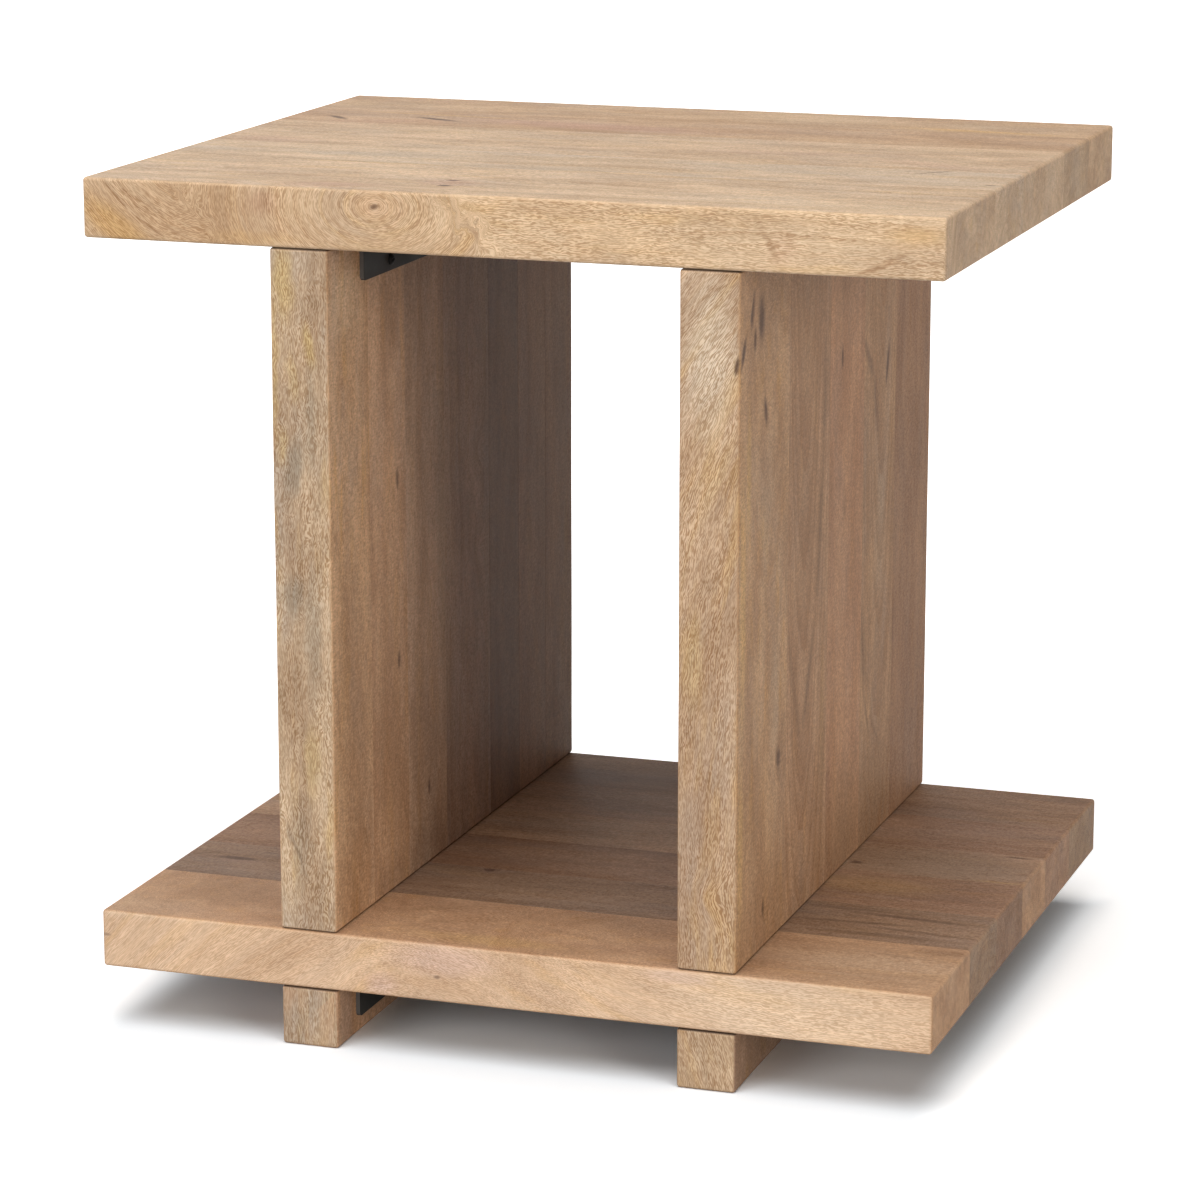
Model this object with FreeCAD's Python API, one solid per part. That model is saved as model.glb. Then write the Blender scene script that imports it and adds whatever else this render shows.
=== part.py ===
import FreeCAD, Part
import os

# Accent table in solid wood. A top slab rests on two upright panels, which stand on a base slab of equal plan,
# and two runners under the panels are the feet. Every slab is edge-glued from boards.
# Millimetres. The origin is on the floor under the table's middle. +Z is up, the front faces -Y, right is +X.

# Driving dimensions of the wood
WIDTH = 610.0  # left to right, the top and the base alike
DEPTH = 510.0  # front to back, every piece of wood
HEIGHT = 610.0  # floor to the upper face
BOARD = 42.0  # thickness of every board, and the width of a runner
RUNNER_HEIGHT = 43.0
BAY = 250.0  # clear width between the panels
EASED = 2.5  # radius of the sanded arrises

# Glue lines between the boards, as places along Y, from the front to the rear
TOP_SEAMS = (-122.0, -38.0, 88.0, 170.0)
BASE_SEAMS = (-150.0, -71.0, 9.0, 83.0, 164.0)
LEFT_PANEL_SEAMS = (-181.0, -111.0, -33.0, 62.0, 128.0, 190.0)
RIGHT_PANEL_SEAMS = (-136.0, -32.0, 60.0, 150.0)

# Folded steel angles, one in each inside corner under the top and under the base
ANGLE_LEG = 30.0
ANGLE_STEEL = 3.0  # thickness of the sheet
ANGLE_BEND = 1.5  # inside radius of the fold
ANGLE_CORNER = 4.0  # radius of the free corners of a leg
SCREW_LINE = 17.0  # from the heel of an angle to its row of screws in the slab
TOP_ANGLE = {
    "length": 390.0,
    "wall_line": 22.0,  # from the heel down to the row of screws in the panel
    "wall_screws": (-144.0, -48.0, 48.0, 144.0),  # along Y
    "slab_screws": (-95.0, 0.0, 95.0),  # along Y, up into the top
}
RUNNER_ANGLE = {
    "length": 440.0,
    "wall_line": 17.0,  # from the heel down to the row of screws in the runner
    "wall_screws": (-165.0, -55.0, 55.0, 165.0),  # along Y
    "slab_screws": (-110.0, 0.0, 110.0),  # along Y, up into the base
}

# Pan-head wood screws of the angles
SCREW_HEAD_RADIUS = 4.25
SCREW_HEAD_HEIGHT = 2.8
SCREW_HEAD_RIM = 0.7  # straight side of the head, under its dome
SCREW_RADIUS = 2.0
SCREW_LENGTH = 25.0  # under the head
SCREW_TIP = 3.5
SCREW_HOLE_RADIUS = 2.4  # in the angle

# Bolts that hold the panels to the base, with washers below and threaded inserts above
BOLT_PLACES = (-205.0, -50.0, 50.0, 205.0)  # along Y, in the middle of a panel's thickness
BOLT_RADIUS = 4.0
BOLT_HEAD_RADIUS = 6.5
BOLT_HEAD_HEIGHT = 5.0
BOLT_KEY = 5.0  # hexagon socket, across flats
BOLT_KEY_DEPTH = 2.8
BOLT_REACH = 28.0  # above the base
BOLT_CHAMFER = 1.0
BOLT_HOLE_RADIUS = 4.5  # in the base, and above the insert
WASHER_RADIUS = 10.0
WASHER_HOLE_RADIUS = 4.2
WASHER_THICKNESS = 1.6
COUNTERBORE_RADIUS = 11.0
COUNTERBORE_DEPTH = 8.0
INSERT_RADIUS = 6.0
INSERT_LENGTH = 20.0
INSERT_CHAMFER = 0.8

# Levels and places that follow from them
BASE_BOTTOM = RUNNER_HEIGHT
BASE_TOP = BASE_BOTTOM + BOARD
TOP_BOTTOM = HEIGHT - BOARD
PANEL_INNER = BAY / 2
PANEL_MIDDLE = PANEL_INNER + BOARD / 2
FRONT = -DEPTH / 2
REAR = DEPTH / 2
COUNTERBORE_ROOF = BASE_BOTTOM + COUNTERBORE_DEPTH
BOLT_SEAT = COUNTERBORE_ROOF - WASHER_THICKNESS
SIDES = {"left": -1, "right": 1}
NEAR = 0.01  # for finding an edge by its place

X = FreeCAD.Vector(1, 0, 0)
Y = FreeCAD.Vector(0, 1, 0)
Z = FreeCAD.Vector(0, 0, 1)


def point(x, y, z):
    return FreeCAD.Vector(x, y, z)


def turned(profile):
    """A solid of revolution about Z. The profile lists lines and arcs in the XZ plane, closed by the axis."""
    return Part.Face(Part.Wire(profile)).revolve(point(0, 0, 0), Z, 360)


def line(start, end):
    """A straight edge between two (radius, height) points of a turned profile."""
    return Part.LineSegment(point(start[0], 0, start[1]), point(end[0], 0, end[1])).toShape()


def outline(corners):
    """Straight edges round a closed profile of (radius, height) corners."""
    return [line(a, b) for a, b in zip(corners, corners[1:] + corners[:1])]


def slab(x, z, width, height):
    """A full-depth piece of wood with every arris eased. x and z are its left face and its underside."""
    block = Part.makeBox(width, DEPTH, height, point(x, FRONT, z))
    return block.makeFillet(EASED, block.Edges)


def boards(whole, seams):
    """Saws a slab at its glue lines into boards, from the front to the rear."""
    cuts = (FRONT, *seams, REAR)
    box = whole.BoundBox
    pieces = []
    for front, rear in zip(cuts, cuts[1:]):
        span = Part.makeBox(box.XLength, rear - front, box.ZLength, point(box.XMin, front, box.ZMin))
        pieces.append(whole.common(span).Solids[0])
    return pieces


def drilled(piece, cutters):
    """The piece with every cutter taken out of it that reaches it."""
    for cutter in cutters:
        if piece.BoundBox.intersect(cutter.BoundBox):
            piece = piece.cut(cutter).Solids[0]
    return piece


def edges_at(shape, x, z):
    """The edges whose middle lies at x and z, whatever their place along Y."""
    return [e for e in shape.Edges if abs(e.CenterOfMass.x - x) < NEAR and abs(e.CenterOfMass.z - z) < NEAR]


def folded_angle(side, ceiling, angle):
    """One steel angle, in the corner between an upright's inner face and the slab above it."""
    length = angle["length"]
    inward = -side
    heel = side * PANEL_INNER
    wall_x = heel + inward * ANGLE_STEEL
    tip_x = heel + inward * ANGLE_LEG
    slab_z = ceiling - ANGLE_STEEL
    tip_z = ceiling - ANGLE_LEG
    upper_leg = [(heel, ceiling), (tip_x, ceiling), (tip_x, slab_z), (wall_x, slab_z)]
    wall_leg = [(wall_x, tip_z), (heel, tip_z), (heel, ceiling)]
    section = [point(x, -length / 2, z) for x, z in upper_leg + wall_leg]
    bar = Part.Face(Part.makePolygon(section)).extrude(Y * length)

    wall_leg_corners = edges_at(bar, (heel + wall_x) / 2, tip_z)
    slab_leg_corners = edges_at(bar, tip_x, (ceiling + slab_z) / 2)
    bar = bar.makeFillet(ANGLE_CORNER, wall_leg_corners + slab_leg_corners)
    bar = bar.makeFillet(ANGLE_BEND + ANGLE_STEEL, edges_at(bar, heel, ceiling))
    bar = bar.makeFillet(ANGLE_BEND, edges_at(bar, wall_x, slab_z))

    for y in angle["wall_screws"]:
        start = point(heel, y, ceiling - angle["wall_line"])
        bar = bar.cut(Part.makeCylinder(SCREW_HOLE_RADIUS, ANGLE_STEEL, start, X * inward))
    for y in angle["slab_screws"]:
        start = point(heel + inward * SCREW_LINE, y, slab_z)
        bar = bar.cut(Part.makeCylinder(SCREW_HOLE_RADIUS, ANGLE_STEEL, start, Z))
    return bar.Solids[0]


def pan_head_screw(seat, into):
    """A wood screw whose head sits on the point seat and whose shank runs along the direction into."""
    rise = SCREW_HEAD_HEIGHT - SCREW_HEAD_RIM
    ball = (SCREW_HEAD_RADIUS**2 + rise**2) / (2 * rise)
    half_way = SCREW_HEAD_RADIUS / 2
    sag = ball - (ball**2 - half_way**2) ** 0.5
    crown = (0.0, -SCREW_HEAD_HEIGHT)
    rim = (SCREW_HEAD_RADIUS, -SCREW_HEAD_RIM)
    collar = (SCREW_HEAD_RADIUS, 0.0)
    neck = (SCREW_RADIUS, 0.0)
    taper = (SCREW_RADIUS, SCREW_LENGTH - SCREW_TIP)
    tip = (0.0, SCREW_LENGTH)
    dome = Part.Arc(point(0, 0, crown[1]), point(half_way, 0, crown[1] + sag), point(rim[0], 0, rim[1]))
    sides = [line(a, b) for a, b in ((rim, collar), (collar, neck), (neck, taper), (taper, tip), (tip, crown))]
    screw = turned([dome.toShape(), *sides])
    screw.Placement = FreeCAD.Placement(seat, FreeCAD.Rotation(Z, into))
    return screw


def angle_screws(side, ceiling, angle):
    """The screws of one angle: a row into the upright and a row up into the slab."""
    heel = side * PANEL_INNER
    wall_seat = heel - side * ANGLE_STEEL
    slab_line = heel - side * SCREW_LINE
    wall_line = ceiling - angle["wall_line"]
    wall = [pan_head_screw(point(wall_seat, y, wall_line), X * side) for y in angle["wall_screws"]]
    under = [pan_head_screw(point(slab_line, y, ceiling - ANGLE_STEEL), Z) for y in angle["slab_screws"]]
    return wall + under


def panel_bolt(x, y):
    """A socket-head bolt, from the counterbore under the base up into the panel."""
    bottom = BOLT_SEAT - BOLT_HEAD_HEIGHT
    top = BASE_TOP + BOLT_REACH
    bolt = turned(outline([
        (0.0, bottom),
        (BOLT_HEAD_RADIUS - BOLT_CHAMFER, bottom),
        (BOLT_HEAD_RADIUS, bottom + BOLT_CHAMFER),
        (BOLT_HEAD_RADIUS, BOLT_SEAT),
        (BOLT_RADIUS, BOLT_SEAT),
        (BOLT_RADIUS, top - BOLT_CHAMFER),
        (BOLT_RADIUS - BOLT_CHAMFER, top),
        (0.0, top),
    ]))
    corner = point(BOLT_KEY / 3**0.5, 0, bottom)
    hexagon = [FreeCAD.Rotation(Z, 60 * k).multVec(corner) for k in range(7)]
    socket = Part.Face(Part.makePolygon(hexagon)).extrude(Z * BOLT_KEY_DEPTH)
    bolt = bolt.cut(socket)
    bolt.translate(point(x, y, 0))
    return bolt.Solids[0]


def washer(x, y):
    disc = Part.makeCylinder(WASHER_RADIUS, WASHER_THICKNESS, point(x, y, BOLT_SEAT))
    return disc.cut(Part.makeCylinder(WASHER_HOLE_RADIUS, WASHER_THICKNESS, point(x, y, BOLT_SEAT)))


def threaded_insert(x, y):
    """A metal sleeve let into the panel's foot, with the bolt's bore."""
    top = BASE_TOP + INSERT_LENGTH
    sleeve = turned(outline([
        (BOLT_RADIUS, BASE_TOP),
        (INSERT_RADIUS, BASE_TOP),
        (INSERT_RADIUS, top - INSERT_CHAMFER),
        (INSERT_RADIUS - INSERT_CHAMFER, top),
        (BOLT_RADIUS, top),
    ]))
    sleeve.translate(point(x, y, 0))
    return sleeve


def bolt_holes_in_base(x, y):
    counterbore = Part.makeCylinder(COUNTERBORE_RADIUS, COUNTERBORE_DEPTH, point(x, y, BASE_BOTTOM))
    bore = Part.makeCylinder(BOLT_HOLE_RADIUS, BOARD, point(x, y, BASE_BOTTOM))
    return [counterbore, bore]


def bolt_holes_in_panel(x, y):
    seat = Part.makeCylinder(INSERT_RADIUS, INSERT_LENGTH, point(x, y, BASE_TOP))
    bore = Part.makeCylinder(BOLT_HOLE_RADIUS, BOLT_REACH + BOLT_CHAMFER, point(x, y, BASE_TOP))
    return [seat, bore]


def write(name, shape):
    shape.exportStep(os.path.join("parts", name + ".step"))


def write_boards(name, whole, seams, cutters):
    for number, board in enumerate(boards(whole, seams), start=1):
        write(f"{name}_board_{number}", drilled(board, cutters))


os.makedirs("parts", exist_ok=True)

slab_cutters = []
for name, side in SIDES.items():
    x = side * PANEL_MIDDLE
    left_face = x - BOARD / 2

    # Steel angles and their screws, under the top and under the base
    top_screws = angle_screws(side, TOP_BOTTOM, TOP_ANGLE)
    runner_screws = angle_screws(side, BASE_BOTTOM, RUNNER_ANGLE)
    write(f"{name}_top_angle", folded_angle(side, TOP_BOTTOM, TOP_ANGLE))
    write(f"{name}_runner_angle", folded_angle(side, BASE_BOTTOM, RUNNER_ANGLE))
    write(f"{name}_top_angle_screws", Part.makeCompound(top_screws))
    write(f"{name}_runner_angle_screws", Part.makeCompound(runner_screws))

    # Bolts between the base and the panel
    write(f"{name}_panel_bolts", Part.makeCompound([panel_bolt(x, y) for y in BOLT_PLACES]))
    write(f"{name}_panel_washers", Part.makeCompound([washer(x, y) for y in BOLT_PLACES]))
    write(f"{name}_panel_inserts", Part.makeCompound([threaded_insert(x, y) for y in BOLT_PLACES]))

    # Upright panel of glued boards, and the runner below it
    seams = LEFT_PANEL_SEAMS if side < 0 else RIGHT_PANEL_SEAMS
    panel = slab(left_face, BASE_TOP, BOARD, TOP_BOTTOM - BASE_TOP)
    panel_cutters = top_screws + [hole for y in BOLT_PLACES for hole in bolt_holes_in_panel(x, y)]
    write_boards(f"{name}_panel", panel, seams, panel_cutters)
    write(f"{name}_runner", drilled(slab(left_face, 0.0, BOARD, RUNNER_HEIGHT), runner_screws))

    slab_cutters += top_screws + runner_screws
    slab_cutters += [hole for y in BOLT_PLACES for hole in bolt_holes_in_base(x, y)]

# Top and base slabs of glued boards
write_boards("top", slab(-WIDTH / 2, TOP_BOTTOM, WIDTH, BOARD), TOP_SEAMS, slab_cutters)
write_boards("base", slab(-WIDTH / 2, BASE_BOTTOM, WIDTH, BOARD), BASE_SEAMS, slab_cutters)
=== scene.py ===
import math

import bpy
import numpy as np
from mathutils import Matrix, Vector


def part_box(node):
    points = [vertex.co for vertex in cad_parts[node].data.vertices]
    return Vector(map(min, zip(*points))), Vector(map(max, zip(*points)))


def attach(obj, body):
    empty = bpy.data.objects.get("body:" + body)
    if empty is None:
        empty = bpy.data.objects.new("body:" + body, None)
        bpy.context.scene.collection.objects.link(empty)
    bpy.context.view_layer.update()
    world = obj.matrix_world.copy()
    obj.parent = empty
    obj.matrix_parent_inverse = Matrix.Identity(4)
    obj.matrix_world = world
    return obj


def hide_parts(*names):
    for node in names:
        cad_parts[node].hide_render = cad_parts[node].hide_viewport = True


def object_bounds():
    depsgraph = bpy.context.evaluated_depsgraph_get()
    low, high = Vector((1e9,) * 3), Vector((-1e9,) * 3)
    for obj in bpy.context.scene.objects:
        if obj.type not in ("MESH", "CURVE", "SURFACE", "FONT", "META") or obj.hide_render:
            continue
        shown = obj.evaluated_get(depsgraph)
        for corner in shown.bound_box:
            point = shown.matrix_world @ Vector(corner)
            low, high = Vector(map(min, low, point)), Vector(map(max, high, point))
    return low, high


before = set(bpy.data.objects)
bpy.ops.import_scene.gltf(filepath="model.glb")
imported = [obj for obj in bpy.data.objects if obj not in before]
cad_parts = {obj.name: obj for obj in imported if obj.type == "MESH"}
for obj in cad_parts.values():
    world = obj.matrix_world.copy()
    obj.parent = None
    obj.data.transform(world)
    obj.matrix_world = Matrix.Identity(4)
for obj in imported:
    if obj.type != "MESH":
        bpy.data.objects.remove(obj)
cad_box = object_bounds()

# Base slab: six boards of pale, mango-like wood, edge-glued with the grain running left to right. The slab
# is planed flush after gluing and its outer arrises are eased by hand, so glue lines stay as hairs and each
# board keeps its own tone.
MM = 0.001
EASED = 2.5 * MM
GLUE_HAIR = 0.2 * MM
LEAST_RADIUS = 0.01 * MM
NEAR = 0.1 * MM
ARRIS_SWELL = 0.1
SWELL_LENGTH, SWELL_START = 34.0 * MM, 0.36 * MM
ARC_STEPS = 6
BOARD_STATIONS = 26
ALONG_X, ALONG_Y, ALONG_Z = 0, 1, 2


def drawn_in(distance, radius):
    """How far a side draws in near an end: r - sqrt(r² - (r - distance)²), within one radius r of it."""
    rest = np.maximum(radius - distance, 0.0)
    return radius - np.sqrt(np.maximum(radius**2 - rest**2, 0.0))


def ring_quads(stations, count):
    """The corners of every quad between neighbouring rings of points, with each ring closed on itself."""
    station, place = np.meshgrid(np.arange(stations - 1), np.arange(count), indexing="ij")
    beside = (place + 1) % count
    quads = np.stack([station * count + place, station * count + beside,
                      (station + 1) * count + beside, (station + 1) * count + place], axis=-1)
    return quads.reshape(-1, 4), station, place


def eased_block(name, low, high, outer_low, outer_high, axis):
    """A board: a rounded rectangle carried along the axis, one ring of points for each station.

    A corner of the ring is a quarter circle, of the eased radius where two outer faces meet and a hair at a
    glue line. The radius swells and thins by a tenth along the board, as a hand-eased arris does. Within one
    radius of an end the outer sides draw in along a quarter circle. The attribute "arris" is 1 in the middle
    of an eased arc.
    """
    first, second = (axis + 1) % 3, (axis + 2) % 3
    length = high[axis] - low[axis]
    turn = np.linspace(0.0, math.pi / 2, ARC_STEPS + 1)
    end_arc = EASED * (1.0 - np.cos(turn))
    middle = np.linspace(EASED, length - EASED, BOARD_STATIONS)[1:-1]
    stations = np.concatenate([end_arc, middle, length - end_arc[::-1]])
    to_end = np.minimum(stations, length - stations)
    wave = np.sin(stations / SWELL_LENGTH + low[first] / SWELL_START)
    swell = 1.0 - ARRIS_SWELL + ARRIS_SWELL * wave

    def is_outer(way, side):
        return abs((low, high)[side][way] - (outer_low, outer_high)[side][way]) < NEAR

    sides = {}
    for way in (first, second):
        for side, sign in ((0, 1.0), (1, -1.0)):
            radius = EASED if is_outer(way, side) else GLUE_HAIR
            sides[way, side] = (low, high)[side][way] + sign * drawn_in(to_end, radius)

    ring_first, ring_second, ring_arris = [], [], []
    for quarter, (side_first, side_second) in enumerate(((1, 1), (0, 1), (0, 0), (1, 0))):
        is_arris = is_outer(first, side_first) and is_outer(second, side_second)
        radius = EASED * swell if is_arris else np.full_like(stations, GLUE_HAIR)
        radius = np.maximum(radius - drawn_in(to_end, radius), LEAST_RADIUS)[:, None]
        angle = (quarter * math.pi / 2 + turn)[None, :]
        centre_first = sides[first, side_first][:, None] - (2 * side_first - 1) * radius
        centre_second = sides[second, side_second][:, None] - (2 * side_second - 1) * radius
        ring_first.append(centre_first + radius * np.cos(angle))
        ring_second.append(centre_second + radius * np.sin(angle))
        ring_arris.append(np.sin(2.0 * turn) * is_arris)

    count = 4 * (ARC_STEPS + 1)
    points = np.empty((len(stations), count, 3))
    points[..., axis] = (low[axis] + stations)[:, None]
    points[..., first] = np.concatenate(ring_first, axis=1)
    points[..., second] = np.concatenate(ring_second, axis=1)
    end_turn = np.arccos(np.clip(1.0 - to_end / EASED, 0.0, 1.0))
    arris = np.maximum(np.concatenate(ring_arris)[None, :], np.sin(2.0 * end_turn)[:, None])

    quads, station, place = ring_quads(len(stations), count)
    near_end = (station < ARC_STEPS) | (station >= len(stations) - 1 - ARC_STEPS)
    curved = near_end | (place % (ARC_STEPS + 1) != ARC_STEPS)
    caps = [list(range(count))[::-1], list(range((len(stations) - 1) * count, len(stations) * count))]

    mesh = bpy.data.meshes.new(name)
    mesh.from_pydata(points.reshape(-1, 3).tolist(), [], quads.tolist() + caps)
    mesh.polygons.foreach_set("use_smooth", np.append(curved.ravel(), [False, False]))
    mesh.attributes.new("arris", "FLOAT", "POINT").data.foreach_set("value", arris.ravel())
    mesh.update()
    return mesh


class Finish:
    """A material, made one step at a time: each method adds a node and returns its output."""

    def __init__(self, name):
        self.material = bpy.data.materials.new(name)
        self.material.use_nodes = True
        self.tree = self.material.node_tree
        self.shader = self.tree.nodes["Principled BSDF"]
        self.place = self.node("TexCoord", out="Object")

    def node(self, kind, feeds=(), out=0, **settings):
        """A node with its options set and its inputs fed, by place or name, from outputs or plain values."""
        node = self.tree.nodes.new("ShaderNode" + kind)
        for option, value in settings.items():
            setattr(node, option, value)
        for key, feed in (feeds.items() if isinstance(feeds, dict) else enumerate(feeds)):
            if isinstance(feed, bpy.types.NodeSocket):
                self.tree.links.new(feed, node.inputs[key])
            else:
                node.inputs[key].default_value = feed
        return node.outputs[out]

    def math(self, operation, *feeds):
        return self.node("Math", feeds, operation=operation)

    def times(self, first, *others):
        for other in others:
            first = self.math("MULTIPLY", first, other)
        return first

    def vector(self, operation, *feeds, out=0):
        return self.node("VectorMath", feeds, out, operation=operation)

    def part(self, vector, axis):
        return self.node("SeparateXYZ", (vector,), axis)

    def sized(self, where, size, shift=(0.0, 0.0, 0.0)):
        """The place measured in lengths of the given size along X, Y and Z, and shifted."""
        return self.node("Mapping", {"Vector": where, "Location": shift, "Scale": [1.0 / s for s in size]})

    def noise(self, where, detail=2.0, roughness=0.5, out="Fac"):
        feeds = {"Vector": where, "Scale": 1.0, "Detail": detail, "Roughness": roughness}
        return self.node("TexNoise", feeds, out)

    def rise(self, value, start, end, low=0.0, high=1.0):
        """Low up to start, high from end, with a smooth step between them."""
        return self.node("MapRange", (value, start, end, low, high), interpolation_type="SMOOTHSTEP")

    def ramp(self, value, start, end, low, high):
        """A straight line from low at start to high at end."""
        return self.node("MapRange", (value, start, end, low, high))

    def blend(self, share, first, second, way="MIX"):
        """Colours blended by the share of the second."""
        feeds = {"Factor": share}
        for key, colour in ((6, first), (7, second)):
            feeds[key] = colour if isinstance(colour, bpy.types.NodeSocket) else (*colour, 1.0)
        return self.node("Mix", feeds, 2, data_type="RGBA", blend_type=way)

    def curve(self, value, points):
        """A smooth curve through given points, with value and result in 0 to 1."""
        output = self.node("FloatCurve", {"Value": value})
        mapping = output.node.mapping
        line = mapping.curves[0]
        line.points[0].location = points[0]
        line.points[1].location = points[-1]
        for point in points[1:-1]:
            line.points.new(*point)
        mapping.update()
        return output

    def bump(self, height, distance, strength):
        normal = self.node("Bump", {"Strength": strength, "Distance": distance, "Height": height})
        self.tree.links.new(normal, self.shader.inputs["Normal"])

    def dress(self, **feeds):
        """Feeds the shader: outputs are linked, plain values are set on its own sockets."""
        for key, feed in feeds.items():
            socket = self.shader.inputs[key.replace("_", " ")]
            if isinstance(feed, bpy.types.NodeSocket):
                self.tree.links.new(feed, socket)
            else:
                socket.default_value = feed


# Sizes of the figure along and across the grain, in mm
SLOW_WANDER, QUICK_CURL = (170.0, 70.0), (19.0, 11.0)
BROAD_CLOUD, GREY_CLOUD = (120.0, 32.0), (150.0, 42.0)
HONEY_CLOUD, UMBER_CLOUD = (110.0, 15.0), (80.0, 22.0)
RINGED_PATCH, DENSE_PATCH, ARRIS_RUB_AND_HIGHLIGHT_PATCH = (140.0, 30.0), (50.0, 14.0), (30.0, 9.0)
MOTTLE, FIBRE, RAY_FLECK = (18.0, 7.0), (36.0, 1.3), (1.4, 3.8)
PORE, PORE_WAVE = (4.0, 0.8), (7.5, 2.1)
PORE_BAND = 1.35 * MM

# The border of an eye leans with the height and is ragged, and its figure fades out behind the front edge.
EYE_LEAN, EYE_RAGGED, EYE_GRAIN = 0.6, 60.0 * MM, 15.0 * MM
EYE_DEPTH, EYE_END = 8.0 * MM, 34.0 * MM

# A knot's push fades with the distance d, in knot sizes, as 2.718 to the power of -1.4 d^1.6.
KNOT_BASE, KNOT_FADE, KNOT_POWER = 2.718, -1.4, 1.6

MARK_DEPTH = 7.0 * MM
# The groove at a joint: a painted shadow, near black close to the joint's level and fading out further away.
GROOVE_PAINTED_SHADOW, GROOVE_SHADOW_NEAR, GROOVE_SHADOW_FAR = (0.03, 0.018, 0.012), 0.5 * MM, 1.8 * MM
AS_IS = (1.0, 1.0, 1.0)
# Colours of the marks: stains in the wood, and also painted shade and painted light where a board notes it.
STAIN_AND_PAINTED_PATCH_COLOURS = {
    "gold": (0.66, 0.42, 0.17),
    "rosy": (0.50, 0.31, 0.22),
    "ash": (0.48, 0.35, 0.24),
    "slate": (0.36, 0.265, 0.18),
    "pale": (0.78, 0.60, 0.41),
    "brown": (0.34, 0.20, 0.11),
    "mineral": (0.10, 0.052, 0.033),
}


def shade(tone, red, green, blue):
    return (tone[0] * red, tone[1] * green, tone[2] * blue)


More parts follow.
